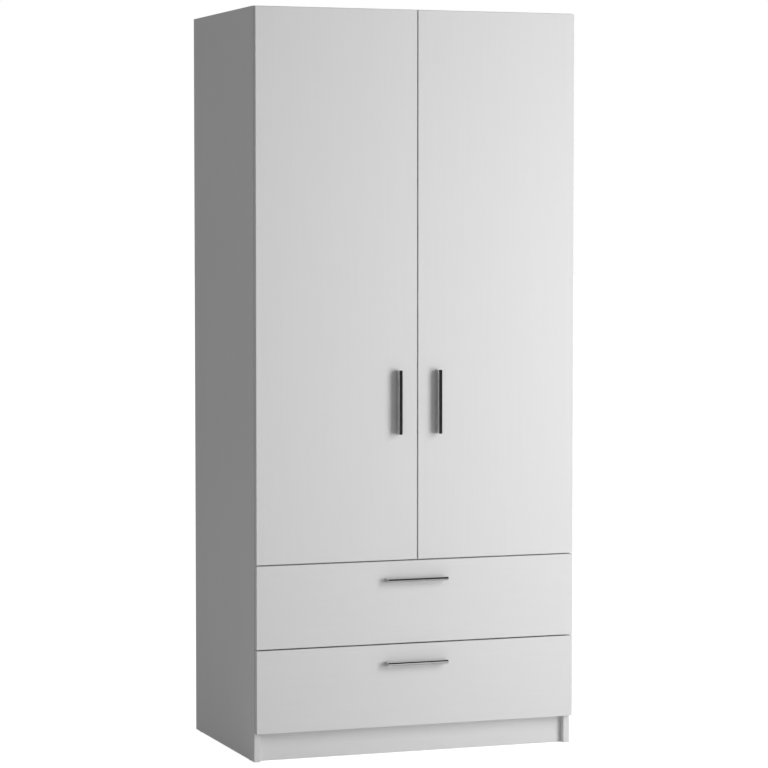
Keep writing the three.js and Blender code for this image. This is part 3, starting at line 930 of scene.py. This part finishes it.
def hinge_screws(head):
    for side, sign in SIDES:
        arms, cups = [], []
        for place in HINGE_PLACES:
            low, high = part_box(f"hinge_arm_{side}_{place}")
            z = (low.z + high.z) / 2
            axis_y = low.y + KNUCKLE
            crown = low.x if sign > 0 else high.x
            plate_crown = crown + sign * PLATE_STEP
            inward = (-sign, 0, 0)
            arms += [((crown + sign * ARM_SEAT, axis_y + y, z), inward) for y in ARM_SCREWS]
            arms += [((plate_crown + sign * ARM_SEAT, axis_y + PLATE_MIDDLE, z + up), inward)
                     for up in (-PLATE_SCREWS, PLATE_SCREWS)]
            cup_low, cup_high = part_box(f"hinge_cup_{side}_{place}")
            ear = (cup_low.x + EAR_RADIUS) if sign > 0 else (cup_high.x - EAR_RADIUS)
            cups += [((ear, cup_high.y - CUP_SEAT, z + up), (0, 1, 0))
                     for up in (-CUP_SCREWS, CUP_SCREWS)]
        place_all(f"{side}_arm_screws", head, arms, "carcass", "hinge_steel")
        place_all(f"{side}_cup_screws", head, cups, f"{side}_door", "hinge_steel")


def runner_screws(head):
    for side, sign in SIDES:
        spots = []
        for level in LEVELS:
            low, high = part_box(f"{level}_cabinet_runner_{side}")
            wall = (high.x - RUNNER_SHEET) if sign > 0 else (low.x + RUNNER_SHEET)
            z = low.z + RUNNER_SCREW_UP
            spots += [((wall, low.y + y, z), (-sign, 0, 0)) for y in RUNNER_SCREWS]
        place_all(f"{side}_runner_screws", head, spots, "carcass", "runner_steel")


def socket_and_bracket_screws(head):
    """A screw in each rail socket, the wall screw, and two that hold the bracket to the top."""
    spots = []
    rail_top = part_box("hanging_rail")[1].z
    for side, sign in SIDES:
        low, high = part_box(f"rail_socket_{side}")
        plate = (high.x - SOCKET_PLATE) if sign > 0 else (low.x + SOCKET_PLATE)
        spots.append(((plate, 0.0, rail_top + SOCKET_SCREW_UP), (-sign, 0, 0)))
    low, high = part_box("wall_bracket")
    spots.append(((0.0, high.y - BRACKET_SHEET, high.z - WALL_SCREW_DOWN), (0, -1, 0)))
    spots += [((x, low.y + BRACKET_SCREW_IN, high.z - BRACKET_SHEET), (0, 0, -1))
              for x in (-BRACKET_SCREWS, BRACKET_SCREWS)]
    place_all("socket_screws", head, spots, "carcass", "hinge_steel")


def cams(head):
    spots = [((x, y, z + CAM_SUNK), (0, 0, -1))
             for node in ("top_panel", "fixed_shelf", "bottom_panel")
             for x, y, z in cam_spots(node)]
    place_all("cam_fittings", head, spots, "carcass", "hinge_steel")


def shelf_pins():
    """Four steel pins in the drilled rows carry the hat shelf."""
    outline = [(0.0, -8 * MM), (2.3 * MM, -8 * MM), (2.3 * MM, 0.0), (3.6 * MM, 0.0),
               (3.6 * MM, 0.8 * MM), (2.4 * MM, 1.0 * MM), (2.4 * MM, 6.2 * MM),
               (2.0 * MM, 6.8 * MM), (0.0, 7.0 * MM)]
    pins = [lathe(outline, (sign * INNER, y, PIN_HEIGHT), (-sign, 0, 0), segments=24)
            for _, sign in SIDES for y in PIN_ROWS]
    attach(link_mesh("shelf_pins", merge(pins), [MAT["nickel"]]), "carcass", "hinge_steel")


def fold_tape(low, high):
    """Paper tape over the fold line of the back panel, pressed into the fold along its middle."""
    half, proud, sunk = 19 * MM, 0.3 * MM, 0.05 * MM
    crease, feather = 1.6 * MM, 0.8 * MM
    bottom = low.z + 2 * MM
    top = high.z - 7 * MM                # just below the groove in the top panel
    section = [(-half, -sunk), (-half, 0.0), (-half + feather, proud), (-crease, proud),
               (-0.4 * crease, 0.5 * proud), (0.4 * crease, 0.5 * proud), (crease, proud),
               (half - feather, proud), (half, 0.0), (half, -sunk)]
    bm = bmesh.new()
    rings = [[bm.verts.new((x, high.y + y, z)) for x, y in section] for z in (bottom, top)]
    bridge(bm, rings)
    bm.faces.new(rings[0])
    bm.faces.new(rings[1])
    attach(link_mesh("back_fold_tape", bm, [MAT["tape"]]), "carcass", "hardboard")


def back_details(nail):
    """The tape down the middle of the back, and nails into the two fixed boards' edges."""
    low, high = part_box("back_panel")
    fold_tape(low, high)
    heights = [sum(corner.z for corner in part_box(node)) / 2
               for node in ("bottom_panel", "fixed_shelf")]
    spots = [((x, high.y, z), (0, 1, 0)) for z in heights for x in NAIL_PLACES]
    place_all("back_nails", nail, spots, "carcass", "hinge_steel")


def small_fittings():
    screw = stamped(pan_head(SCREW_RADIUS, height=1.7 * MM), SCREW_CROSS, depth=1.1 * MM)
    length, ease = 11 * MM, 0.4 * MM
    cam = stamped([(0.0, -length), (CAM_RADIUS, -length), (CAM_RADIUS, -ease),
                   (CAM_RADIUS - ease, 0.0), (0.0, 0.0)],
                  recess=4.2 * MM, depth=2.2 * MM, segments=32)
    nail = bpy.data.meshes.new("nail")
    bm = lathe(pan_head(2.6 * MM, height=0.7 * MM), (0, 0, 0), (0, 0, 1), segments=20)
    bm.to_mesh(nail)
    bm.free()
    hinge_screws(screw)
    runner_screws(stamped(flat_head(SCREW_RADIUS, proud=0.4 * MM), SCREW_CROSS, depth=1.0 * MM))
    socket_and_bracket_screws(screw)
    cams(cam)
    shelf_pins()
    back_details(nail)


make_camera()
make_world()
shield_floor(make_lights()["back_soft"], make_floor())
carcass_boards()
doors()
drawers()
cad_fittings()
hanging_rail()
rollers()
small_fittings()

scene.view_settings.view_transform = "Standard"
scene.view_settings.look = "None"

bpy.context.view_layer.update()
